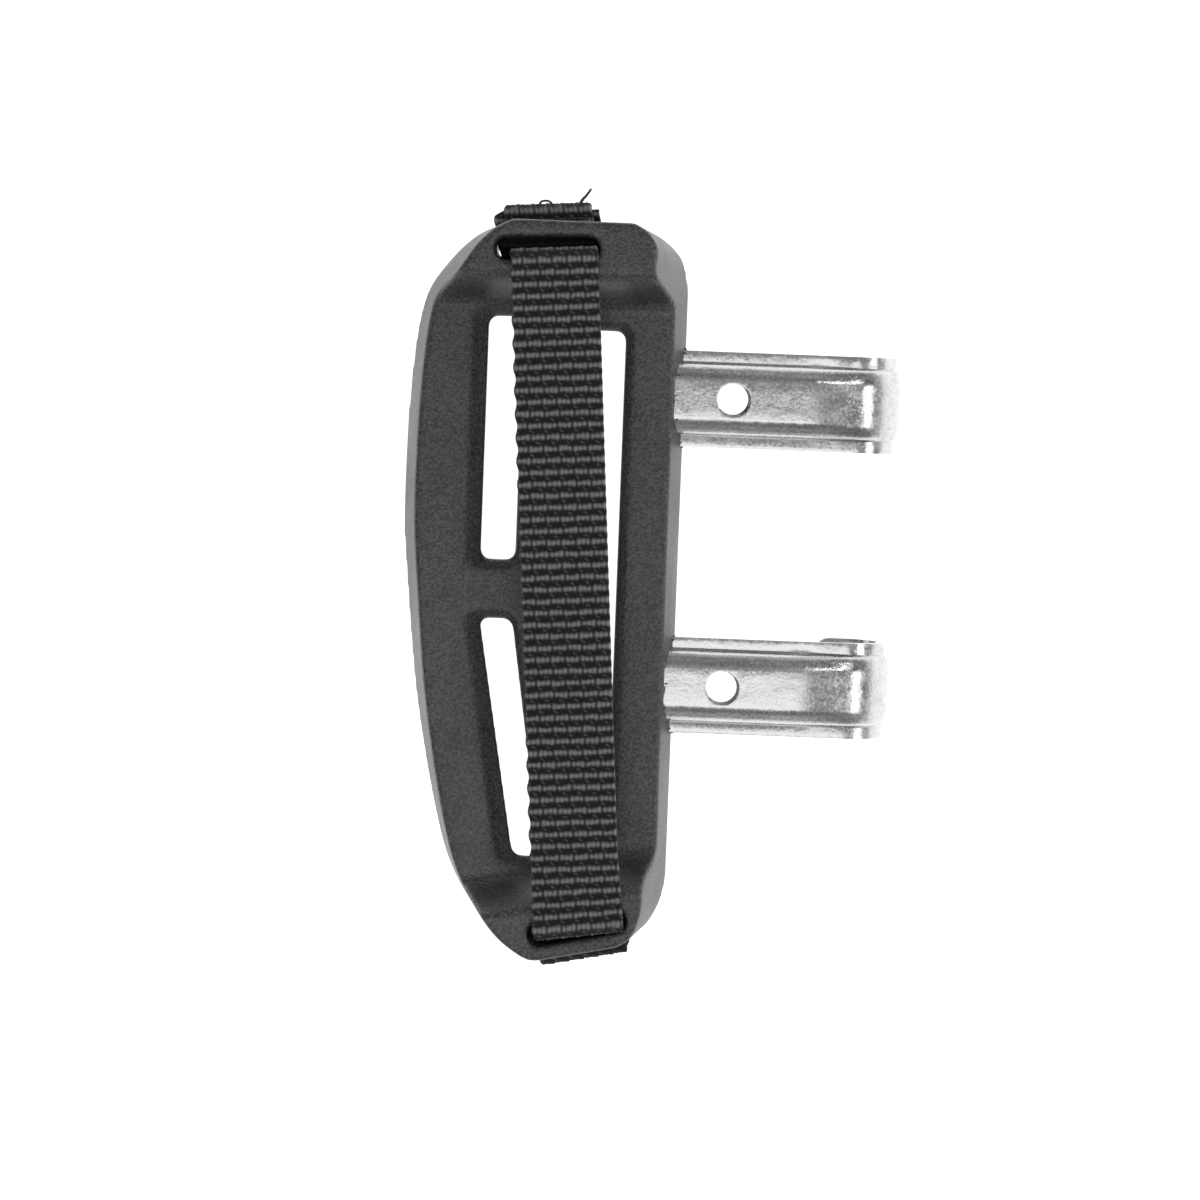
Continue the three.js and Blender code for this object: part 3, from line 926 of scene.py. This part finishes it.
@dataclass
class GripPlate:
    """The hollow moulded plate with its two humps."""

    brackets: list[HookBracket]
    slots: list[Slot]
    face_z: float = 12.0
    hump_z: float = 26.0
    wall: float = 3.0
    rib: float = 2.5
    right_x: float = 27.7
    top_y: float = 85.6
    mid_x: float = -4.5
    lean: float = 0.0079
    corners: tuple[tuple[float, float, float], ...] = ((1.2, 66, 74), (0.45, 76, 86), (0.7, -62, -78))
    rise: float = 9.0
    upper_rise_y: float = 65.5
    lower_rise: tuple[float, float] = (22.0, -58.5)
    lower_tilt: float = math.radians(12)
    spine_x: float = -2.9
    block_reach: float = 14.0
    voxel: float = 0.58
    keep: float = 0.64
    windows: list[Window] = field(
        default_factory=lambda: [
            Window([(-18.6, 7.2), (-10.7, 7.2), (-10.7, 63.6), (-18.6, 63.6)], (4.6, 1.2)),
            Window([(-8.7, -62.0), (-2.4, -62.0), (-10.9, -6.7), (-18.4, -6.7)], (4.6, 1.2)),
            Window([(4.9, -57.0), (13.1, -57.0), (13.1, 61.0), (4.9, 61.0)], (1.2, 1.8)),
        ]
    )

    def outline(self) -> list[tuple[float, float]]:
        """Return the D shape of the back rim, going round from its right side."""
        right, top = self.right_x, self.top_y
        high_corner = run_through([(right, 71), (25.9, 78.4), (21.4, 83), (16, top)])
        shoulder = [(-16, top), (-22.6, 82.4), (-28.7, 76.4), (-34.3, 66.9), (-36.8, 48)]
        flank = [(-37.5, 20), (-36.1, 1), (-32.7, -27.3), (-26.8, -55.5), (-21.5, -69.4), (-14.1, -78.6)]
        foot = [(-5, -84), (0, -84.2)]
        low_corner = run_through([(19.4, -80.7), (23.4, -78.2), (26.5, -72.4), (right, -66)])
        return high_corner + [(16, top)] + run_through(shoulder + flank + foot) + [foot[-1]] + low_corner + [(right, -66)]

    def _leaned(self, bm: bmesh.types.BMesh) -> bmesh.types.BMesh:
        """Lean the long sides in with height, by other shares towards the right corners."""
        for v in bm.verts:
            share = self.lean
            if v.co.x > self.mid_x:
                for part, start, end in self.corners:
                    reached = min(max((v.co.y - start) / (end - start), 0.0), 1.0)
                    share += (self.lean * part - share) * reached
            v.co.x = self.mid_x + (v.co.x - self.mid_x) * (1 - share * v.co.z)
        return bm

    def _valley(self, floor: float, shift: float) -> list[bmesh.types.BMesh]:
        """Return what lies above the face between the rises to the humps.

        Args:
            floor: Height of its floor.
            shift: How far its rises lie beyond the outer ones.

        Returns:
            A solid for each end of the plate.
        """
        high = self.hump_z + 20
        crest = self.hump_z - self.face_z + floor
        made = []
        for end in End:
            way = end.value
            start = self.upper_rise_y + shift if end is End.UPPER else 0.0
            mid, stop = start + way * self.rise / 2, start + way * self.rise
            rise = interpolate_bezier(
                Vector((start, floor)), Vector((mid, floor)), Vector((mid, crest)), Vector((stop, crest)), 17
            )
            back = start - way * 100
            profile = [(back, floor)] + [(p.x, p.y) for p in rise] + [(stop, high), (back, high)]
            bm = bmesh.new()
            face = flat_face(bm, [(-60.0, y, z) for y, z in profile])
            push(bm, face, (120, 0, 0))
            if end is End.LOWER:
                turned(bm, self.lower_tilt, (self.lower_rise[0], self.lower_rise[1] - shift, 0))
            made.append(bm)
        return made

    def _hollow(self) -> bpy.types.Object:
        """Return the space behind the face, clear of every wall and rib."""
        bm = bmesh.new()
        face = flat_face(bm, self.outline())
        bmesh.ops.inset_region(bm, faces=[face], thickness=self.wall, use_even_offset=True, use_boundary=True)
        inner = max(bm.faces, key=lambda f: f.calc_area())
        keep = set(inner.verts)
        bmesh.ops.delete(bm, geom=[v for v in bm.verts if v not in keep], context="VERTS")
        bmesh.ops.translate(bm, verts=bm.verts[:], vec=(0, 0, -1))
        push(bm, bm.faces[:][0], (0, 0, self.hump_z - self.wall + 1))
        obj = thing(self._leaned(bm), "hollow")
        half = self.rib / 2
        walls = self._valley(self.face_z - self.wall, self.wall)
        walls += [window.walls(self.rib, self.face_z) for window in self.windows]
        walls.append(block((-40, -half, -2), (self.right_x, half, self.face_z)))
        walls.append(block((self.spine_x - half, 0, -2), (self.spine_x + half, 70, self.face_z)))
        walls += [slot.tunnel(self.hump_z) for slot in self.slots]
        inside = self.windows[2].corners[1][0]
        for bracket in self.brackets:
            low, high = bracket.y - self.block_reach, bracket.y + self.block_reach
            walls.append(block((inside, low, -2), (self.right_x + 2, high, self.face_z)))
        carve(obj, walls)
        return obj

    def build(self, finish: bpy.types.Material) -> bpy.types.Object:
        """Make the plate.

        Args:
            finish: Its material.

        Returns:
            The finished piece.
        """
        obj = thing(self._leaned(prism(self.outline(), 0, self.hump_z)), "grip_plate_moulding")
        carve(obj, self._valley(self.face_z, 0.0))
        hollow = self._hollow()
        inner = bmesh.new()
        inner.from_mesh(hollow.data)
        bpy.data.objects.remove(hollow)
        carve(obj, [inner])
        cuts = []
        for window in self.windows:
            cuts += [window.through(self.hump_z), window.relieved(self.face_z), window.lead_in(self.face_z)]
        for slot in self.slots:
            cuts += slot.cutters(self.hump_z)
        for bracket in self.brackets:
            cuts.append(bracket.pocket(self.right_x + 6, 0.25))
        carve(obj, cuts)
        skin = obj.modifiers.new("skin", "REMESH")
        skin.mode = "VOXEL"
        skin.voxel_size = self.voxel
        soft = obj.modifiers.new("soft", "SMOOTH")
        soft.factor = 0.5
        soft.iterations = 8
        thin = obj.modifiers.new("thin", "DECIMATE")
        thin.ratio = self.keep
        settle(obj)
        return finish_piece(obj, finish, ("grip_plate",))


# ---- strap ----


@dataclass
class Strap:
    """One length of ribbed webbing from slot to slot, with a folded stop at each end."""

    width: float = 20.0
    thick: float = 1.5
    upper: tuple[float, float] = (-4.0, 78.7)
    lower: tuple[float, float] = (7.0, -77.6)
    over_z: float = 27.05
    fold_z: float = 18.05
    fold_pitch: float = 1.8
    upper_fold: tuple[float, float] = (10.4, 11.5)
    lower_fold: tuple[float, float] = (6.2, 8.6)
    fold_skew: float = 0.13
    turn_skew: float = 0.06
    turn_length: float = 16.0
    lower_slip: float = 0.25
    upper_slip: float = -0.12
    turn: float = 2.2
    flare: float = 0.70
    rib_pitch: float = 2.67
    group: float = 3.38
    split: float = 0.62
    brick: float = 0.82
    step: float = 0.28
    top_columns: int = 66
    back_columns: int = 34

    def route(self) -> list[Vector]:
        """Return the middle line of the webbing, as (along, up), rounded at its turns."""
        corners = self._stop(self.lower[1], -1, self.lower_fold)[::-1] + self._stop(self.upper[1], 1, self.upper_fold)
        points = [Vector(p) for p in corners]
        line = [points[0]]
        for before, here, after in zip(points, points[1:], points[2:]):
            cut = min(self.turn, (before - here).length / 2, (after - here).length / 2)
            start = here + (before - here).normalized() * cut
            end = here + (after - here).normalized() * cut
            line += interpolate_bezier(start, start.lerp(here, 0.56), end.lerp(here, 0.56), end, 12)
        line.append(points[-1])
        return [Vector((p.x, p.y)) for p in line]

    def _stop(self, at: float, out: int, fold: tuple[float, float]) -> list[tuple[float, float]]:
        """Return the corners of the route from a slot to the end of its stop fold.

        Args:
            at: Where the strap goes down through the slot.
            out: 1 at the upper end and -1 at the lower.
            fold: How far the fold goes out, and how far its second layer comes back.

        Returns:
            The corners, going outwards.
        """
        tip = at + out * fold[0]
        back = tip - out * fold[1]
        one, two = self.fold_z - self.fold_pitch, self.fold_z - 2 * self.fold_pitch
        down = [(at, self.over_z), (at, self.fold_z), (tip, self.fold_z), (tip, one)]
        return down + [(back, one), (back, two), (tip - out, two)]

    def place(self, across: float, along: float, up: float) -> Vector:
        """Return a point's place on the leaned strap.

        Args:
            across: Its place across the webbing.
            along: Its place along the plate.
            up: Its height.

        Returns:
            The point in the part's frame.
        """
        slope = (self.upper[0] - self.lower[0]) / (self.upper[1] - self.lower[1])
        turned_in = min(max(1 - (along - self.lower[1]) / self.turn_length, 0.0), 1.0)
        down = min(max((self.over_z - up) / (self.over_z - self.fold_z), 0.0), 1.0)
        skew = turned_in * (self.turn_skew + (self.fold_skew - self.turn_skew) * down)
        slip = self.lower_slip * max(self.lower[1] - along, 0.0) + self.upper_slip * max(along - self.upper[1], 0.0)
        x = across + self.lower[0] + (along - self.lower[1]) * slope + slip
        return Vector((x, along + across * (skew - slope), up))

    def relief(self, run: float, across: float) -> float:
        """Return the height of the weave, from 0 in the recesses to 1 on the fattest yarns.

        Args:
            run: Distance along the webbing.
            across: Distance from its middle.

        Returns:
            The height.
        """
        row = math.floor(run / self.rib_pitch)
        off = abs(run / self.rib_pitch - row - 0.5) * self.rib_pitch
        cell = (across / self.group if row % 2 == 0 else self.brick - across / self.group) % 1.0
        bead = abs(math.sin(3 * math.pi * cell))
        tall = (0.90 if cell > self.split else 0.80) + 0.18 * bead
        ends = min(min(cell, 1 - cell) * self.group / 0.4, 1.0)
        round_across = (0.62 + 0.38 * ends) * (0.66 + 0.34 * bead ** 0.7)
        round_along = max(1 - (off / tall) ** 2, 0.0) ** 0.6
        fleck = 0.22 * max(math.cos(2 * math.pi * (across / self.group + 0.3 * run)), 0.0)
        return max((0.72 + 0.28 * (cell > self.split)) * round_across * round_along, fleck * (off > tall))

    def _measured(self) -> list[tuple[float, Vector, Vector]]:
        """Return the route at even steps: distance run, place and normal."""
        line = self.route()
        runs = [0.0]
        for a, b in zip(line, line[1:]):
            runs.append(runs[-1] + (b - a).length)
        count = round(runs[-1] / self.step)
        made = []
        i = 0
        for k in range(count + 1):
            run = runs[-1] * k / count
            while i < len(line) - 2 and runs[i + 1] < run:
                i += 1
            span = max(runs[i + 1] - runs[i], 1e-6)
            here = line[i].lerp(line[i + 1], (run - runs[i]) / span)
            along = (line[i + 1] - line[i]).normalized()
            made.append((run, here, Vector((-along.y, along.x))))
        normals = [m[2] for m in made]
        soft = []
        for k, (run, here, _) in enumerate(made):
            near = normals[max(k - 2, 0): k + 3]
            soft.append((run, here, sum(near, Vector((0, 0))).normalized()))
        return soft

    def _sideways(self, run: float, total: float) -> float:
        """Return how far a layer of a stop fold has slipped sideways."""
        low, high = self.lower_fold[1], self.upper_fold[1]
        slips = (smooth_step(2 * low - run, 0, 2), smooth_step(low - run, 0, 2))
        backs = (smooth_step(run - total + 2 * high, 0, 2), smooth_step(run - total + high, 0, 2))
        return 1.0 * slips[0] - 2.2 * slips[1] - 2.6 * backs[0] + 4.2 * backs[1]

    def _column(self, index: int) -> tuple[int, float]:
        """Return a column's side, 1 on top and -1 behind, and its share of the way from left to right."""
        if index <= self.top_columns:
            return 1, 2 * index / self.top_columns - 1
        return -1, 1 - 2 * (index - self.top_columns) / self.back_columns

    def _edge(self, run: float, share: float) -> float:
        """Return half the webbing's width where its edge loops in and out.

        Args:
            run: Distance along the webbing.
            share: Below 0 on the left, which is looped, and above 0 on the right, which is corded.

        Returns:
            The half width.
        """
        if share < 0:
            return self.width / 2 + 0.26 * math.cos(math.pi * (run / self.rib_pitch - 0.5))
        return self.width / 2 + 0.05 * math.cos(2 * math.pi * run / self.rib_pitch)

    def _ribbon(self) -> bmesh.types.BMesh:
        """Return the woven ribbon as a closed skin with its weave in relief."""
        stations = self._measured()
        total = stations[-1][0]
        around = self.top_columns + self.back_columns
        bm = bmesh.new()
        run_layer = bm.verts.layers.float.new("run")
        across_layer = bm.verts.layers.float.new("across")
        bmesh.ops.create_grid(bm, x_segments=len(stations) - 1, y_segments=around, size=0.5)
        for v in bm.verts:
            k = round((v.co.x + 0.5) * (len(stations) - 1))
            side, share = self._column(round((v.co.y + 0.5) * around))
            run, here, normal = stations[k]
            half = self._edge(run, share)
            if share > 0:
                half += self.flare * smooth_step(-here.x, 55, 77) * smooth_step(here.y, 23, 25.8)
            across = half * share
            edge = max((abs(across) - (half - 0.8)) / 0.8, 0.0)
            round_off = math.sqrt(max(1 - edge * edge, 0.0))
            height = self.relief(run, across)
            rise = (self.thick / 2 - 0.30 + 0.52 * height) * round_off
            spot = here + normal * (side * rise)
            v.co = self.place(across + self._sideways(run, total), spot.x, spot.y)
            v[run_layer] = run
            v[across_layer] = across
        bmesh.ops.remove_doubles(bm, verts=bm.verts[:], dist=0.002)
        ends = [e for e in bm.edges if e.is_boundary]
        bmesh.ops.holes_fill(bm, edges=ends, sides=0)
        bmesh.ops.recalc_face_normals(bm, faces=bm.faces[:])
        return bm

    def build(self, finish: bpy.types.Material) -> bpy.types.Object:
        """Make the strap.

        Args:
            finish: Its material.

        Returns:
            The finished piece.
        """
        obj = thing(self._ribbon(), "strap_webbing")
        return finish_piece(obj, finish, ("strap",))


@dataclass
class StopStitching:
    """The lockstitch rows that hold one stop fold, and any thread end left on it."""

    end: End
    strap: Strap
    rows: tuple[float, float] = (-5.6, -3.2)
    stitches: int = 7
    reach: float = 8.4
    thread: float = 0.26

    def _spot(self, across: float, row: float, up: float) -> Vector:
        """Return a point of a row of stitching in the part's frame."""
        strap = self.strap
        at, fold = (strap.upper[1], strap.upper_fold) if self.end is End.UPPER else (strap.lower[1], strap.lower_fold)
        return strap.place(across, at + self.end.value * (fold[0] + row), up)

    def _threads(self) -> list[list[Vector]]:
        """Return the run of every thread, as points along it."""
        top = self.strap.fold_z + self.strap.thick / 2 + 0.1
        low = self.strap.fold_z - 2 * self.strap.fold_pitch - self.strap.thick / 2 - 0.1
        length = 2 * self.reach / self.stitches
        runs = []
        for row in self.rows:
            for height, sink in ((top, -0.8), (low, 0.8)):
                for i in range(self.stitches):
                    start = -self.reach + i * length
                    shape = [(0.04, sink), (0.10, 0.05), (0.3, 0.16), (0.7, 0.16), (0.90, 0.05), (0.96, sink)]
                    way = 1 if sink < 0 else -1
                    points = []
                    for share, rise in shape:
                        up = height + (rise if rise == sink else way * rise)
                        points.append(self._spot(start + share * length, row, up))
                    runs.append(points)
        if self.end is End.UPPER:
            tip = self.strap.fold_z
            loop = [(-1.9, 0.3), (-1.4, 0.95), (-0.4, 1.15), (0.6, 0.9), (1.1, 0.2)]
            runs.append([self._spot(across, out, tip) for across, out in loop])
            tail = [(7.4, -0.6), (8.0, 0.8), (9.2, 2.0), (10.5, 3.5)]
            for spread in (0.0, 0.35):
                runs.append([self._spot(a - spread * (3.5 - o) / 3.5, o, tip + 0.3) for a, o in tail])
        return runs

    def build(self, finish: bpy.types.Material) -> bpy.types.Object:
        """Make the stitching.

        Args:
            finish: Its material.

        Returns:
            The finished piece.
        """
        data = bpy.data.curves.new("threads", "CURVE")
        data.dimensions = "3D"
        data.bevel_depth = self.thread
        data.bevel_resolution = 2
        data.resolution_u = 6
        data.use_fill_caps = True
        for points in self._threads():
            spline = data.splines.new("BEZIER")
            spline.bezier_points.add(len(points) - 1)
            for handle, point in zip(spline.bezier_points, points):
                handle.co = point
                handle.handle_left_type = "AUTO"
                handle.handle_right_type = "AUTO"
        curve = bpy.data.objects.new("threads", data)
        bpy.context.scene.collection.objects.link(curve)
        bpy.context.view_layer.update()
        graph = bpy.context.evaluated_depsgraph_get()
        mesh = bpy.data.meshes.new_from_object(curve.evaluated_get(graph))
        bpy.data.objects.remove(curve)
        name = self.end.name.lower()
        obj = bpy.data.objects.new(f"{name}_stop_threads", mesh)
        bpy.context.scene.collection.objects.link(obj)
        return finish_piece(obj, finish, (f"{name}_stop_stitching",))


# ---- moulding flash ----


@dataclass
class Flash:
    """Crumbs of plastic that the mould squeezed out round a bracket's root."""

    bracket: HookBracket
    wall_x: float = 27.4
    seed: int = 3

    def build(self, finish: bpy.types.Material) -> bpy.types.Object:
        """Make the flash of one bracket.

        Args:
            finish: Its material.

        Returns:
            The finished piece.
        """
        draw = random.Random(self.seed)
        bm = bmesh.new()
        half = self.bracket.width / 2
        spots = [(half + 0.2, 2.0, 0.62), (half - 0.7, 3.2, 0.5), (-half - 0.1, 2.0, 0.66), (-half + 0.9, 3.3, 0.45)]
        spots += [(8.0, 3.7, 0.42), (-8.2, 3.8, 0.6), (-7.4, 5.2, 0.36), (5.4, 8.3, 0.3), (-5.0, 8.4, 0.34), (0.6, 8.7, 0.26)]
        for across, up, size in spots:
            made = bmesh.ops.create_icosphere(bm, subdivisions=2, radius=size)["verts"]
            for v in made:
                v.co *= 0.75 + 0.5 * noise.noise(v.co * 2.3 + Vector((across, up, self.seed)))
            stretch = (0.9 + 1.1 * draw.random(), 0.6 + 0.5 * draw.random(), 0.5 + 0.4 * draw.random())
            bmesh.ops.scale(bm, verts=made, vec=stretch)
            x = self.wall_x - 0.12 * up * 2 + 0.35 * draw.random()
            bmesh.ops.translate(bm, verts=made, vec=(x, self.bracket.y + across, up))
        obj = thing(bm, f"{self.bracket.name}_flash")
        return finish_piece(obj, finish)


# ---- stage ----


@dataclass
class Stage:
    """White table, soft light all round and the camera above the part."""

    aim: tuple[float, float, float] = (9.5, -2.0, 0.0)
    distance: float = 900.0
    tilt: float = math.radians(-3.0)
    roll: float = math.radians(2.2)
    lens: float = 114.57
    table_gap: float = 0.4
    room: tuple[tuple[float, float], ...] = (
        (0.0, 0.85), (0.14, 0.62), (0.34, 0.28), (0.6, 0.20), (0.8, 0.26), (0.94, 0.40), (1.0, 0.40)
    )
    panels: dict[str, tuple[tuple[float, float, float], tuple[float, float], float]] = field(
        default_factory=lambda: {
            "overhead_panel": ((0.0, -0.29, 1.25), (1.0, 0.54), 2.2),
            "hook_panel": ((1.05, -0.10, 0.79), (0.70, 0.40), 2.4),
            "far_corner_panel": ((0.62, 0.62, 0.90), (0.3, 0.12), 0.9),
            "near_corner_panel": ((-0.62, -0.62, 0.90), (0.3, 0.12), 0.9),
        }
    )

    def camera(self) -> None:
        """Put the camera above the part, rolled a little against it."""
        turn = Matrix.Rotation(self.roll, 4, "Z") @ Matrix.Rotation(self.tilt, 4, "X")
        data = bpy.data.cameras.new("camera")
        data.lens = self.lens
        data.sensor_width = 36.0
        data.clip_end = 20.0
        obj = bpy.data.objects.new("camera", data)
        place = Matrix.Translation(Vector(self.aim) * MM) @ turn @ Matrix.Translation((0, 0, self.distance * MM))
        obj.matrix_world = place
        bpy.context.scene.collection.objects.link(obj)
        bpy.context.scene.camera = obj

    def table(self) -> None:
        """Lay a white, evenly lit table under the part."""
        bm = bmesh.new()
        bmesh.ops.create_grid(bm, x_segments=8, y_segments=8, size=6000)
        bmesh.ops.translate(bm, verts=bm.verts[:], vec=(0, 0, CAD_BOX[0][2] / MM - self.table_gap))
        obj = thing(bm, "table")
        obj.data.transform(Matrix.Scale(MM, 4))
        s = Sketch("white_table")
        s.set(Base_Color=(0.8, 0.8, 0.8, 1), Roughness=0.9, Specular_IOR_Level=0.1)
        s.set(Emission_Color=(1, 1, 1, 1), Emission_Strength=1.0)
        obj.data.materials.append(s.material)

    def _panel(self, name: str, place: tuple[float, float, float], size: tuple[float, float], power: float) -> None:
        """Hang a soft light panel that faces the part.

        Args:
            name: Its name.
            place: Where it hangs, in metres.
            size: Its width and height in metres.
            power: Its power in watts.
        """
        data = bpy.data.lights.new(name, "AREA")
        data.shape = "RECTANGLE"
        data.size, data.size_y = size
        data.energy = power
        obj = bpy.data.objects.new(name, data)
        obj.location = place
        obj.rotation_euler = (-Vector(place)).to_track_quat("-Z", "Y").to_euler()
        bpy.context.scene.collection.objects.link(obj)

    def light(self) -> None:
        """Light the part: a dim room, a large panel overhead and one on each side."""
        world = bpy.data.worlds.new("room")
        world.use_nodes = True
        tree = world.node_tree
        back = next(n for n in tree.nodes if n.type == "BACKGROUND")
        where = tree.nodes.new("ShaderNodeTexCoord")
        parts = tree.nodes.new("ShaderNodeSeparateXYZ")
        ramp = tree.nodes.new("ShaderNodeValToRGB")
        tree.links.new(where.outputs["Generated"], parts.inputs["Vector"])
        tree.links.new(parts.outputs["Z"], ramp.inputs["Fac"])
        tree.links.new(ramp.outputs["Color"], back.inputs["Color"])
        while len(ramp.color_ramp.elements) < len(self.room):
            ramp.color_ramp.elements.new(0.5)
        for point, (height, grey) in zip(ramp.color_ramp.elements, self.room):
            point.position = height
            point.color = (grey, grey, grey, 1.0)
        bpy.context.scene.world = world
        for name, (place, size, power) in self.panels.items():
            self._panel(name, place, size, power)

    def build(self) -> None:
        """Set the whole stage."""
        self.camera()
        self.table()
        self.light()
        view = bpy.context.scene.view_settings
        view.view_transform = "Standard"
        view.look = "None"
        LOG.info("stage set")


def main() -> None:
    """Build the stage and then every piece of the part."""
    logging.basicConfig(level=logging.INFO, format="%(name)s %(message)s")
    Stage().build()
    moulding = Moulding().build()
    zinc = Zinc().build()
    webbing = Webbing().build()
    thread = Thread().build()
    brackets = [
        HookBracket("upper_hook_bracket", 46.15, 59.5, 3.8),
        HookBracket("lower_hook_bracket", -21.1, 57.6, 3.2),
    ]
    slots = [
        Slot(End.UPPER, -5.7, 79.1, math.radians(2), 24.8),
        Slot(End.LOWER, 7.0, -76.5, math.radians(12), 23.6, pinch=0.75),
    ]
    GripPlate(brackets, slots).build(moulding)
    for i, bracket in enumerate(brackets):
        bracket.build(zinc)
        Flash(bracket, seed=3 + i).build(moulding)
    strap = Strap()
    strap.build(webbing)
    for end in End:
        StopStitching(end, strap).build(thread)


if __name__ == "__main__":
    main()
